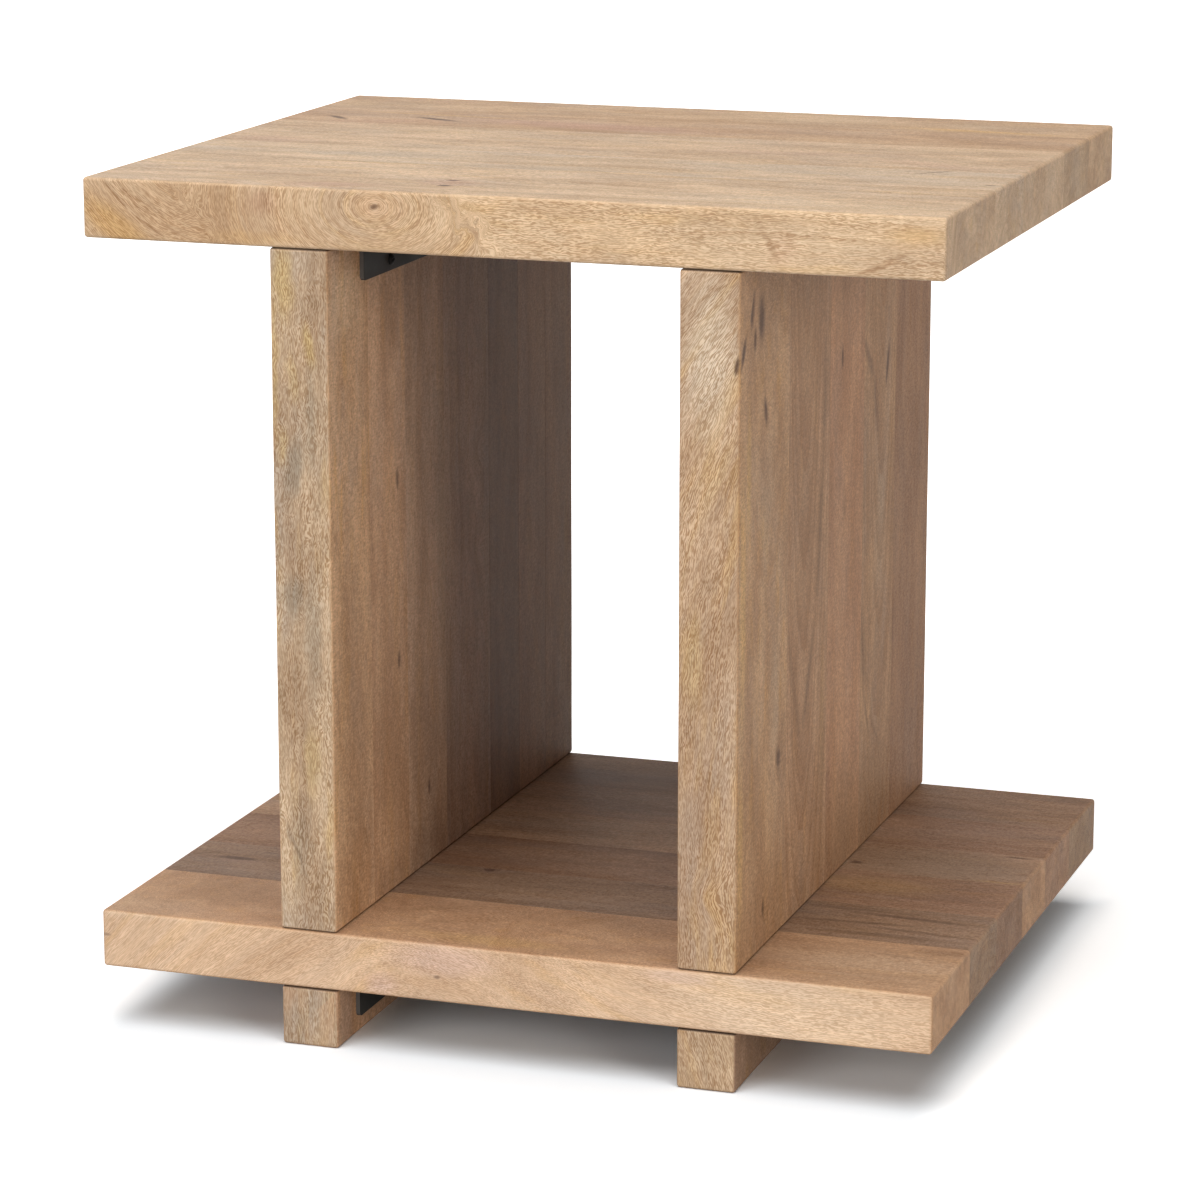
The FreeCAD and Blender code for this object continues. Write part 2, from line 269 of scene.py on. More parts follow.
def wood(name, low, high, grain, seed, tone, edge=AS_IS, ends=AS_IS, contrast=1.0, grey=0.3, gold=0.3,
         rings=0.3, brown=0.3, ring=9.0, ringed=0.05, pith=(12.0, -60.0), line=(), eyes=(), calm=0.0,
         wander=9.0, curl=2.4, stretch=1.0, dashes=(0.6, 0.9), flecks=0.17, marks=None, edge_marks=None,
         knots=(), edge_knots=(), joints=()):
    """Mango-like wood as one solid figure, so that a board's faces, edges and ends agree.

    The place is bent along the line of the grain and made to wander. Growth rings are shells about a pith
    line beside the board, at the given distance in mm across the slab and through it. Clouds, mottle and
    fibres are noise drawn out along the grain. Pores are fine bands across the figure, waved by noise and
    broken into dashes by finer noise, with their strength on the faces and on the edges in dashes. Flecks
    are noise drawn out across the grain, and show on the faces.

    Marks and knots are given along and across the grain in mm, on the slab's show face or, for edge ones,
    on its front edge. Most marks are stains in the wood, and some are painted shade or painted light, as
    noted at the boards. Eyes turn the front edge's figure into rings about points: each takes over from the
    level grain, which starts calm mm up, at a border between two places along it. The colour of the front
    and rear edges is multiplied by the factors in edge, and that of the ends by those in ends. Shadowed
    joints are levels where the piece meets another, and a painted shadow darkens the groove there.
    """
    f = Finish(name)
    thick = ALONG_X + ALONG_Z - grain
    centre = [(a + b) / 2 for a, b in zip(low, high)]
    shift = (seed * 3.7 % 17.0, seed * 5.3 % 19.0, seed * 7.9 % 23.0)
    other_shift = tuple(s + 31.0 for s in shift)
    third_shift = tuple(s + 57.0 for s in shift)

    def drawn(along, across):
        size = [across * MM] * 3
        size[grain] = along * MM
        return size

    def along_axis(value, axis):
        return [value if k == axis else 0.0 for k in range(3)]

    def spot_at(along, across, on_edge):
        """A point of the show face or of the front edge, and the axis that looks out of that face."""
        where = list(high)
        where[grain] = along * MM
        where[thick if on_edge else ALONG_Y] = across * MM
        if on_edge:
            where[ALONG_Y] = low[ALONG_Y]
        return where, (ALONG_Y if on_edge else thick)

    # The run of the grain: the front edge's eyes, a line through given points, and pushes at knots.
    bent = f.vector("SUBTRACT", f.place, centre)
    run = f.part(f.place, grain)
    if eyes:
        across, level = f.part(bent, grain), f.part(bent, thick)
        figure, slide = f.math("ADD", level, calm * MM), 0.0
        ragged = f.noise(f.sized(f.place, [EYE_GRAIN] * 3, shift), 3.0)
        border = f.math("MULTIPLY_ADD", ragged, EYE_RAGGED, run)
        border = f.math("MULTIPLY_ADD", level, EYE_LEAN, border)
        for along, through, close_along, close_through, extra, start, end in eyes:
            closeness = [0.0, 0.0, 0.0]
            closeness[grain], closeness[thick] = close_along, close_through
            where, _ = spot_at(along, through, True)
            away = f.vector("MULTIPLY", f.vector("SUBTRACT", f.place, where), closeness)
            sideways, upward = (f.math("ABSOLUTE", f.part(away, axis)) for axis in (grain, thick))
            away = f.math("ADD", f.vector("LENGTH", away, out="Value"), extra * MM)
            turned = f.times(f.math("GREATER_THAN", sideways, upward), f.math("SUBTRACT", level, across))
            share = f.rise(border, start * MM, end * MM, 1.0, 0.0)
            slide = f.node("Mix", {0: f.math("ROUND", share), 2: slide, 3: turned}, data_type="FLOAT")
            figure = f.node("Mix", {0: share, 2: figure, 3: away}, data_type="FLOAT")
        inward = f.part(f.place, ALONG_Y)
        depth = f.rise(inward, low[ALONG_Y] + EYE_DEPTH, low[ALONG_Y] + EYE_END, 1.0, 0.0)
        lift = f.times(f.math("SUBTRACT", figure, level), depth)
        bent = f.vector("ADD", bent, f.node("CombineXYZ", {thick: lift}))
        turned_fine = f.node("CombineXYZ", {grain: f.times(slide, depth)})
    if line:
        heights = [rise for _, rise in line]
        lowest, spread = min(heights), max(heights) - min(heights)
        start, stop = line[0][0], line[-1][0]
        points = [((a - start) / (stop - start), (rise - lowest) / spread) for a, rise in line]
        way = f.math("MULTIPLY_ADD", run, 1.0 / (MM * (stop - start)), -start / (stop - start))
        lift = f.math("MULTIPLY", f.curve(way, points), -spread * MM)
        bent = f.vector("ADD", bent, f.node("CombineXYZ", {thick: lift}))
    for on_edge, spots in ((False, knots), (True, edge_knots)):
        for along, across, size, push in spots:
            where, _ = spot_at(along, across, on_edge)
            feeds = {"Vector": f.place, "Location": where, "Scale": [size * MM] * 3}
            away = f.vector("LENGTH", f.node("Mapping", feeds, vector_type="TEXTURE"), out="Value")
            fade = f.math("MULTIPLY", f.math("POWER", away, KNOT_POWER), KNOT_FADE)
            swell = f.math("POWER", KNOT_BASE, fade)
            push_way = along_axis(push * MM, thick if on_edge else ALONG_Y)
            bent = f.vector("ADD", bent, f.node("VectorMath", {0: push_way, 3: swell}, operation="SCALE"))

    # Then a slow wander and a quick curl of the fibres.
    slow = f.noise(f.sized(bent, drawn(*SLOW_WANDER), shift), 1.5, out="Color")
    slow = f.vector("MULTIPLY", f.vector("SUBTRACT", slow, (0.5, 0.5, 0.5)), drawn(0.0, wander))
    quick = f.noise(f.sized(bent, drawn(*QUICK_CURL), shift), 1.0, out="Color")
    quick = f.vector("MULTIPLY", f.vector("SUBTRACT", quick, (0.5, 0.5, 0.5)), drawn(0.0, curl))
    flow = f.vector("ADD", bent, slow)
    ripple = f.vector("ADD", flow, quick)
    fine = f.vector("ADD", ripple, turned_fine) if eyes else ripple

    # Growth rings about the pith, of uneven width and strength.
    offset = [0.0, 0.0, 0.0]
    offset[ALONG_Y], offset[thick] = pith[0] * MM, pith[1] * MM
    flat = [0.0 if k == grain else 1.0 for k in range(3)]
    radius = f.vector("LENGTH", f.vector("MULTIPLY", f.vector("SUBTRACT", ripple, offset), flat), out="Value")
    year = f.math("MULTIPLY", radius, 1.0 / (ring * MM))
    uneven = f.node("TexNoise", {"W": year, "Scale": 0.45, "Detail": 2.0}, noise_dimensions="1D")
    year = f.math("MULTIPLY_ADD", uneven, 2.6, year)
    late = f.rise(f.math("FRACT", year), 0.3, 0.97)
    shown = f.rise(f.noise(f.sized(flow, drawn(*RINGED_PATCH), shift)), 0.40, 0.64, ringed, 1.0)
    late = f.times(late, shown)

    # Clouds, mottle and fibres, drawn out along the grain.
    def clouds(where, size, moved, start, end):
        along, across = size
        return f.rise(f.noise(f.sized(where, drawn(along * stretch, across), moved), 3.0, 0.56), start, end)

    broad = clouds(flow, BROAD_CLOUD, shift, 0.34, 0.66)
    cloud = clouds(bent, GREY_CLOUD, other_shift, 0.44, 0.66)
    honey = clouds(flow, HONEY_CLOUD, other_shift, 0.53, 0.72)
    umber = clouds(flow, UMBER_CLOUD, third_shift, 0.52, 0.72)
    mottle = f.noise(f.sized(ripple, drawn(*MOTTLE), shift), 4.0, 0.62)
    fibre = f.noise(f.sized(fine, drawn(*FIBRE), shift), 2.0)
    fleck = f.noise(f.sized(fine, drawn(*RAY_FLECK), shift), 1.0)

    # Pores: bands across the figure, as a triangle wave, broken into dashes.
    pores = f.noise(f.sized(fine, drawn(*PORE), shift), 1.0)
    band = f.times(f.math("ADD", f.part(ripple, ALONG_Y), f.part(ripple, thick)), 1.0 / PORE_BAND)
    band = f.math("MULTIPLY_ADD", f.noise(f.sized(fine, drawn(*PORE_WAVE), shift), 1.0), 2.4, band)
    band = f.math("ABSOLUTE", f.math("MULTIPLY_ADD", f.math("FRACT", band), 2.0, -1.0))
    dash = f.rise(f.math("MULTIPLY_ADD", pores, 3.0, band), 1.60, 2.40)
    dense = f.rise(f.noise(f.sized(flow, drawn(*DENSE_PATCH), other_shift), 3.0), 0.34, 0.62, 0.6, 1.0)
    normal = f.node("TexCoord", out="Normal")
    facing = f.rise(f.math("ABSOLUTE", f.part(normal, ALONG_Y)), 0.5, 0.9)
    on_end = f.rise(f.math("ABSOLUTE", f.part(normal, grain)), 0.5, 0.9)
    open_pores = f.ramp(facing, 0.0, 1.0, *dashes)
    open_pores = f.times(open_pores, f.math("MAXIMUM", dense, late))

    def stain_and_painted_patch_share(spots, on_edge):
        """The strongest of the marks at each place: soft-edged ellipses, ragged by the curl of the grain."""
        ragged = f.vector("ADD", f.place, quick)
        total = None
        for along, across, half_length, half_width, turn, strength in spots:
            where, out_axis = spot_at(along, across, on_edge)
            size = [half_width * MM] * 3
            size[grain], size[out_axis] = half_length * MM, MARK_DEPTH
            feeds = {"Vector": ragged, "Location": where, "Scale": size,
                     "Rotation": along_axis(math.radians(turn), out_axis)}
            away = f.vector("LENGTH", f.node("Mapping", feeds, vector_type="TEXTURE"), out="Value")
            spot = f.rise(away, 0.25, 1.2, strength, 0.0)
            total = spot if total is None else f.math("MAXIMUM", total, spot)
        return total

    # Colour: clouds, then stains and painted patches, then rings, fibres, pores and flecks, then edges, ends,
    # and arrises lightened partly by wear and partly by a painted highlight.
    step = 0.15 * contrast
    pale = shade(tone, 1 + 0.8 * step, 1 + step, 1 + 1.1 * step)
    deep = shade(tone, 1 - step, 1 - 1.15 * step, 1 - 1.3 * step)
    mean = sum(tone) / 3
    ashen = [0.6 * part + 0.33 * mean for part in tone]
    colour = f.blend(broad, pale, deep)
    colour = f.blend(f.times(cloud, grey), colour, ashen)
    colour = f.blend(f.times(umber, brown), colour, shade(tone, 0.76, 0.69, 0.64))
    colour = f.blend(f.times(honey, gold), colour, shade(tone, 1.06, 0.98, 0.68))
    # Marks: stains, and the patches of painted shade and painted light noted at the boards.
    for kind, stain in STAIN_AND_PAINTED_PATCH_COLOURS.items():
        for on_edge, spots in ((False, marks or {}), (True, edge_marks or {})):
            if kind in spots:
                colour = f.blend(stain_and_painted_patch_share(spots[kind], on_edge), colour, stain)
    colour = f.blend(1.0, colour, f.ramp(mottle, 0.3, 0.7, 1 - 0.6 * step, 1 + 0.6 * step), "MULTIPLY")
    colour = f.blend(f.times(late, rings), colour, shade(tone, 0.66, 0.56, 0.46))
    colour = f.blend(1.0, colour, f.ramp(fibre, 0.25, 0.75, 0.93, 1.07), "MULTIPLY")
    lines = f.blend(dash, (1.15, 1.18, 1.21), (0.66, 0.56, 0.46))
    colour = f.blend(open_pores, colour, f.blend(1.0, colour, lines, "MULTIPLY"))
    rays = f.blend(1.0, colour, f.ramp(fleck, 0.3, 0.7, 1 - flecks, 1 + flecks), "MULTIPLY")
    colour = f.blend(facing, rays, f.blend(1.0, colour, edge, "MULTIPLY"))
    colour = f.blend(on_end, colour, f.blend(1.0, colour, ends, "MULTIPLY"))
    # Arrises lightened in patches: partly wear, partly a painted highlight along the eased edge.
    arris = f.node("Attribute", out="Fac", attribute_name="arris")
    arris_rub_and_highlight = f.rise(f.noise(f.sized(f.place, drawn(*ARRIS_RUB_AND_HIGHLIGHT_PATCH))), 0.4, 0.6, 0.05, 0.35)
    colour = f.blend(f.times(arris, arris_rub_and_highlight), colour, shade(tone, 1.2, 1.2, 1.2))

    # Painted shadow in the groove at each joint: the colour goes near black close to the joint's level.
    for level in joints:
        away = f.math("ABSOLUTE", f.math("SUBTRACT", f.part(f.place, ALONG_Z), level * MM))
        colour = f.blend(f.rise(away, GROOVE_SHADOW_NEAR, GROOVE_SHADOW_FAR, 0.92, 0.0), colour, GROOVE_PAINTED_SHADOW)

    height = f.math("MULTIPLY_ADD", f.times(dash, open_pores), -1.0, f.times(fibre, 0.35))
    f.bump(f.math("MULTIPLY_ADD", late, -0.15, height), 0.25 * MM, 0.35)
    f.dress(Base_Color=colour, Roughness=f.ramp(fibre, 0.2, 0.8, 0.55, 0.70), Specular_IOR_Level=0.15)
    return f.material


def place_piece(name, mesh, material, slot, *nodes):
    """Puts a finished piece into the scene in place of its nodes, riding on the table's one body."""
    piece = bpy.data.objects.new(name, mesh)
    mesh.materials.append(material)
    bpy.context.scene.collection.objects.link(piece)
    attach(piece, "root")
    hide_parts(*nodes)
    return piece


def corners(node):
    return [np.array(corner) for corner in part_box(node)]


def glued_slab(boards, grain, slot, joints=()):
    """Finishes every board of a slab: boards maps a node's name to what is its own in the wood."""
    boxes = {node: corners(node) for node in boards}
    outer_low = np.min([low for low, _ in boxes.values()], axis=0)
    outer_high = np.max([high for _, high in boxes.values()], axis=0)
    for node, look in boards.items():
        low, high = boxes[node]
        mesh = eased_block(node + "_mesh", low, high, outer_low, outer_high, grain)
        figure = wood(node + "_wood", low, high, grain, joints=joints, **look)
        place_piece("planed_" + node, mesh, figure, slot, node)


BASE_FIGURE = dict(flecks=0.13, dashes=(0.75, 0.9))
BASE_BOARDS = {
    "base_board_1": dict(
        seed=1, tone=(0.505, 0.305, 0.178), edge=(1.3, 1.48, 1.67), contrast=0.7, grey=0.15, rings=0.2,
        wander=6.0, dashes=(0.7, 0.55), flecks=0.1,
        line=((-305, -170), (-130, -20), (-60, 14), (20, -16), (110, -50), (305, -64)),
        knots=((-30, -275, 80, 40),),
        marks=dict(
            # The first brown patch, wide and soft at the left, is painted shade beside the left panel; the
            # rest are stains.
            brown=((-240, -190, 60, 40, 0, 0.5), (70, -170, 70, 22, -12, 0.34),
                   (-85, -178, 46, 6, 24, 0.4), (-55, -200, 40, 5, 20, 0.36),
                   (-90, -222, 34, 4, 26, 0.34), (40, -205, 50, 5, -18, 0.32)),
            ash=((255, -210, 90, 50, 0, 0.35), (-290, -235, 60, 34, 0, 0.3)),
            mineral=((292, -162, 32, 9, 0, 0.3), (262, -178, 30, 2.5, -6, 0.25)),
            gold=((-20, -235, 70, 14, 0, 0.3),)),
        edge_marks=dict(
            rosy=((-45, 74, 46, 14, 0, 0.7), (-92, 52, 14, 10, 0, 0.7), (125, 80, 30, 7, 0, 0.5)),
            mineral=((-50, 61, 3, 2, 0, 0.6), (-303, 67, 6, 1.5, 0, 0.5)),
            pale=((200, 64, 110, 40, 0, 0.15),))),
    "base_board_2": dict(
        seed=2, tone=(0.315, 0.197, 0.127), ends=(1.06, 1.08, 1.04), grey=0.5, rings=0.45, ringed=0.4,
        **BASE_FIGURE,
        knots=((-76, -76, 14, 11),),
        marks=dict(
            mineral=((-263, -107, 18, 5, 0, 0.85), (-76, -76, 6, 5, 0, 0.75), (250, -92, 60, 4, -4, 0.6),
                     (212, -112, 56, 3, 4, 0.5), (262, -122, 50, 3, -5, 0.5), (240, -136, 60, 6, 0, 0.45),
                     (210, -83, 50, 4, 0, 0.4)),
            # Painted shade: this wide brown patch darkens the right ledge under the top.
            brown=((235, -110, 80, 60, 0, 0.3),),
            # Painted light: this wide ash patch lightens and greys the bay between the panels.
            ash=((0, -110, 130, 50, 0, 0.16),))),
    "base_board_3": dict(
        seed=3, tone=(0.345, 0.2, 0.123), ends=(0.81, 0.82, 0.82), **BASE_FIGURE,
        marks=dict(
            # Painted light: this wide ash patch lightens and greys the bay between the panels.
            ash=((0, -31, 150, 60, 0, 0.12),),
            gold=((200, -22, 60, 26, 0, 0.22),),
            mineral=((280, -50, 60, 24, 0, 0.12),))),
    "base_board_4": dict(
        seed=4, tone=(0.435, 0.265, 0.163), ends=(1.03, 0.99, 0.92), grey=0.35, **BASE_FIGURE,
        marks=dict(
            # The wide mineral patch at (235, 40) is painted shade on the right ledge; the small ones are
            # stains.
            mineral=((174, 30, 7, 5, 0, 0.75), (286, 78, 15, 3, 0, 0.7), (257, 112, 5, 3, 0, 0.5),
                     (235, 40, 90, 60, 0, 0.23)),
            gold=((285, 13, 22, 2, 0, 0.6),),
            # Painted light: this wide ash patch lightens and greys the bay between the panels.
            ash=((0, 46, 150, 60, 0, 0.25),),
            # Painted shade: this wide slate patch greys the right ledge under the top.
            slate=((235, 40, 90, 60, 0, 0.4),))),
    "base_board_5": dict(
        seed=5, tone=(0.37, 0.218, 0.136), **BASE_FIGURE,
        marks=dict(
            # Painted light: this wide ash patch lightens and greys the bay between the panels.
            ash=((0, 124, 150, 60, 0, 0.25),))),
    "base_board_6": dict(
        seed=6, tone=(0.3, 0.174, 0.103), ends=(1.02, 1.13, 1.18), grey=0.4, **BASE_FIGURE,
        marks=dict(
            # Painted shade: this wide mineral patch darkens the rear of the bay between the panels.
            mineral=((0, 205, 150, 70, 0, 0.17),))),
}
glued_slab(BASE_BOARDS, ALONG_X, "base_wood")

# Panels: two upright slabs, edge-glued from boards with the grain upright. They stand on the base slab, held
# from below, and carry the top. Their arrises are eased all round into a thin groove at the top and the foot,
# which a painted shadow darkens.
LEFT_PANEL_BOARDS = {
    "left_panel_board_1": dict(
        seed=11, tone=(0.595, 0.38, 0.225), edge=(0.853, 0.962, 1.085), contrast=1.2, grey=0.5, gold=0.6,
        wander=18.0, curl=8.0, dashes=(0.6, 1.0), rings=0.35,
        marks=dict(
            # Painted light: this pale patch lightens the top of the board's front.
            pale=((532, -222, 40, 32, 0, 0.4),),
            # The two wide brown patches darken the lower part of the board: painted shade.
            brown=((225, -214, 170, 42, 0, 0.52), (110, -214, 70, 42, 0, 0.55))),
        edge_marks=dict(
            gold=((545, -157, 32, 10, 0, 0.7), (490, -165, 70, 4, 0, 0.6), (502, -139, 18, 5, -8, 0.7),
                  (478, -151, 22, 4, -6, 0.4), (431, -160, 16, 5, 0, 0.45), (208, -141, 32, 8, 0, 0.45)),
            slate=((418, -151, 28, 9, 10, 0.75), (325, -153, 20, 10, 0, 0.75), (300, -139, 60, 8, 0, 0.5),
                   (150, -150, 40, 9, 0, 0.45), (450, -139, 40, 6, 0, 0.45)),
            mineral=((147, -155, 28, 2, -24, 0.35),))),
    "left_panel_board_2": dict(
        seed=12, tone=(0.55, 0.35, 0.217), curl=5.0, gold=0.5,
        marks=dict(
            # The last mineral patch, wide and low at the foot, is painted shade beside the base; the small
            # ones are stains.
            mineral=((385, -128, 9, 3.5, 0, 0.75), (253, -128, 8, 3.5, 0, 0.75),
                     (92, -146, 26, 60, 0, 0.2)),
            # The wide brown patch, low on the board, is painted shade; the small one is a stain.
            brown=((505, -140, 34, 16, 20, 0.6), (190, -146, 160, 46, 0, 0.5)))),
    "left_panel_board_3": dict(
        seed=13, tone=(0.465, 0.31, 0.205),
        knots=((143, -78, 14, 10),),
        marks=dict(
            # The second mineral patch, wide and low at the foot, is painted shade beside the base.
            mineral=((143, -70, 8, 3.5, 0, 0.75), (94, -72, 34, 60, 0, 0.24)),
            slate=((320, -32, 190, 26, 0, 0.5),))),
    "left_panel_board_4": dict(
        seed=14, tone=(0.37, 0.25, 0.175), rings=0.5, ringed=0.4,
        knots=((378, 36, 26, 18), (300, 40, 18, 12)),
        marks=dict(
            mineral=((357, 50, 8, 2.5, 0, 0.5), (470, 10, 60, 60, 0, 0.14), (330, 64, 180, 24, 0, 0.22)),
            ash=((340, -33, 170, 24, 0, 0.4),))),
    "left_panel_board_5": dict(
        seed=15, tone=(0.238, 0.141, 0.084),
        marks=dict(
            mineral=((357, 95, 10, 3, 0, 0.5), (370, 92, 90, 30, 0, 0.16)),
            slate=((320, 62, 170, 18, 0, 0.3),))),
    "left_panel_board_6": dict(seed=16, tone=(0.322, 0.19, 0.114)),
    "left_panel_board_7": dict(seed=17, tone=(0.312, 0.182, 0.107), rings=0.5, ringed=0.4),
}
RIGHT_PANEL_BOARDS = {
    "right_panel_board_1": dict(
        seed=21, tone=(0.535, 0.33, 0.19), edge=(0.98, 1.09, 1.24), dashes=(0.6, 1.0), gold=0.6, curl=4.0,
        line=((85, 0), (230, 5), (400, 35), (568, 115)),
        knots=((213, -156, 16, 13), (114, -190, 12, 9)),
        edge_knots=((138, 148, 16, 9),),
        marks=dict(
            mineral=((537, -226, 16, 4.5, -18, 0.95), (529, -205, 20, 9, 0, 0.97),
                     (517, -220, 10, 4, 0, 0.9), (512, -246, 15, 4.5, -28, 0.95),
                     (464, -193, 13, 4.5, 12, 0.95), (213, -156, 10, 6, 15, 0.8),
                     (114, -190, 8, 4, 0, 0.75)),
            gold=((340, -244, 110, 8, 0, 0.5), (430, -232, 60, 6, 0, 0.45), (170, -246, 70, 8, 0, 0.5)),
            ash=((385, -192, 50, 14, 0, 0.4), (262, -168, 60, 16, 0, 0.4)),
            # The wide brown patches at the foot (95 mm up) and the top (545 mm up) are painted shade; the
            # others are stains.
            brown=((216, -145, 26, 15, 0, 0.45), (112, -186, 24, 18, 0, 0.4), (95, -195, 60, 90, 0, 0.45),
                   (190, -220, 70, 40, 0, 0.32), (545, -195, 80, 90, 0, 0.45))),
        edge_marks=dict(
            mineral=((505, 165, 8, 2, 10, 0.9),),
            pale=((510, 146, 70, 22, 0, 0.45),),
            gold=((300, 136, 40, 8, 0, 0.4), (430, 152, 40, 6, 20, 0.25)),
            brown=((245, 136, 16, 5, -30, 0.35), (250, 146, 150, 40, 0, 0.15)))),
    "right_panel_board_2": dict(
        seed=22, tone=(0.475, 0.285, 0.167), pith=(-11, -40), ring=6.5, rings=0.6, ringed=0.75,
        wander=5.0, brown=0.45,
        line=((85, 0), (568, 46)),
        marks=dict(
            # The first brown patch, wide at the top, is painted shade under the overhang.
            brown=((525, -84, 90, 70, 0, 0.65), (400, -92, 190, 40, 0, 0.25), (180, -43, 90, 8, 0, 0.6),
                   (253, -118, 56, 8, 20, 0.6), (252, -81, 56, 8, -21, 0.6),
                   (357, -54.5, 66, 8, -7.5, 0.6), (457, -46, 54, 8, 0, 0.6)),
            # The last mineral patch, wide and low at the foot, is painted shade beside the base; the others
            # are streaks.
            mineral=((253, -118, 56, 4.5, 20, 0.3), (252, -81, 56, 4.5, -21, 0.34),
                     (357, -54.5, 66, 4.5, -7.5, 0.34), (457, -46, 54, 5, 0, 0.3),
                     (92, -84, 36, 70, 0, 0.12)),
            gold=((215, -45, 70, 6, 0, 0.35),))),
    "right_panel_board_3": dict(
        seed=23, tone=(0.475, 0.26, 0.145), rings=0.15,
        marks=dict(
            # The last mineral patch, wide and low at the foot, is painted shade beside the base.
            mineral=((468, 0, 10, 3.5, 0, 0.85), (358, 10, 12, 7, 0, 0.3), (92, 14, 36, 70, 0, 0.14)),
            # Both brown patches, wide at the foot and the top, are painted shade.
            brown=((100, 14, 80, 70, 0, 0.75), (540, 14, 80, 70, 0, 0.5)))),
    "right_panel_board_4": dict(
        seed=24, tone=(0.45, 0.268, 0.15), grey=0.5, pith=(6, -36), ring=6.0, rings=0.55, ringed=0.5,
        wander=6.0,
        line=((85, 0), (568, 50)),
        marks=dict(
            # The last mineral patch, wide and low at the foot, is painted shade beside the base.
            mineral=((443, 126, 20, 5, -14, 0.95), (454, 74, 27, 6, 44, 0.5), (419, 95, 32, 6, 14, 0.5),
                     (466, 63, 10, 5, 50, 0.4), (236, 66, 34, 4, 8, 0.4), (186, 78, 26, 3.5, 24, 0.36),
                     (170, 100, 20, 3, 40, 0.3), (92, 105, 36, 70, 0, 0.22)),
            ash=((320, 110, 60, 16, 0, 0.4),),
            # The first and last brown patches, wide at the foot and the top, are painted shade.
            brown=((110, 105, 80, 70, 0, 0.9), (240, 68, 46, 9, 10, 0.7), (510, 100, 90, 70, 0, 0.45)))),
    "right_panel_board_5": dict(
        seed=25, tone=(0.33, 0.18, 0.098), brown=0.45,
        marks=dict(
            # Painted shade: this wide mineral patch darkens the foot of the board.
            mineral=((100, 200, 80, 70, 0, 0.16),))),
}
# The panels' foot and top levels, where a painted shadow darkens the groove.
PANEL_SHADOWED_JOINTS = (85, 568)
glued_slab(LEFT_PANEL_BOARDS, ALONG_Z, "panel_wood", PANEL_SHADOWED_JOINTS)
glued_slab(RIGHT_PANEL_BOARDS, ALONG_Z, "panel_wood", PANEL_SHADOWED_JOINTS)

# Panel bolts, washers and inserts: zinc-plated bolts pass up through the base, on washers in counterbores,
# and into brass inserts in the foot of each panel. The runners cover them, and the machined shapes stay as
# they are.


def bright_metal(name, pale, deep):
    """Plated or turned metal: two near tones in soft clouds, and fine turning lines round its axis."""
    f = Finish(name)
    tarnish = f.rise(f.noise(f.sized(f.place, [6.0 * MM] * 3), 3.0), 0.35, 0.65)
    lines = f.noise(f.sized(f.place, (9.0 * MM, 9.0 * MM, 0.25 * MM)), 1.0)
    f.bump(lines, 0.05 * MM, 0.3)
    f.dress(Base_Color=f.blend(tarnish, pale, deep), Metallic=1.0,
            Roughness=f.ramp(tarnish, 0.0, 1.0, 0.28, 0.46))
    return f.material


def refinish(node, material):
    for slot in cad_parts[node].material_slots:
        slot.material = material


zinc = bright_metal("zinc_plate", (0.71, 0.72, 0.71), (0.58, 0.58, 0.54))
brass = bright_metal("turned_brass", (0.74, 0.56, 0.27), (0.58, 0.42, 0.18))
for side in ("left", "right"):
    refinish(side + "_panel_bolts", zinc)
    refinish(side + "_panel_washers", zinc)
    refinish(side + "_panel_inserts", brass)

# Runners: a strip under each panel that lifts the base off the floor. They are cut from panel stock, with the
# grain upright, so their front ends show the same speckled dashes as the panels' front edges.
RUNNERS = {
    "left_runner": dict(
        seed=31, tone=(0.52, 0.307, 0.184), edge=(0.92, 1.12, 1.25), grey=0.5, gold=0.5,
        dashes=(0.6, 1.0), curl=4.0),
    "right_runner": dict(
        seed=32, tone=(0.35, 0.22, 0.145), edge=(1.55, 1.76, 1.74), grey=0.15, gold=0.5,
        dashes=(0.5, 1.0),
        line=((0, 12), (43, 0))),
}
# The level where each runner meets the base, where a painted shadow darkens the groove.
RUNNER_SHADOWED_JOINT = 43
for node, look in RUNNERS.items():
    low, high = corners(node)
    mesh = eased_block(node + "_mesh", low, high, low, high, ALONG_Y)
    figure = wood(node + "_wood", low, high, ALONG_Z, joints=(RUNNER_SHADOWED_JOINT,), **look)
    place_piece("planed_" + node, mesh, figure, "runner_wood", node)

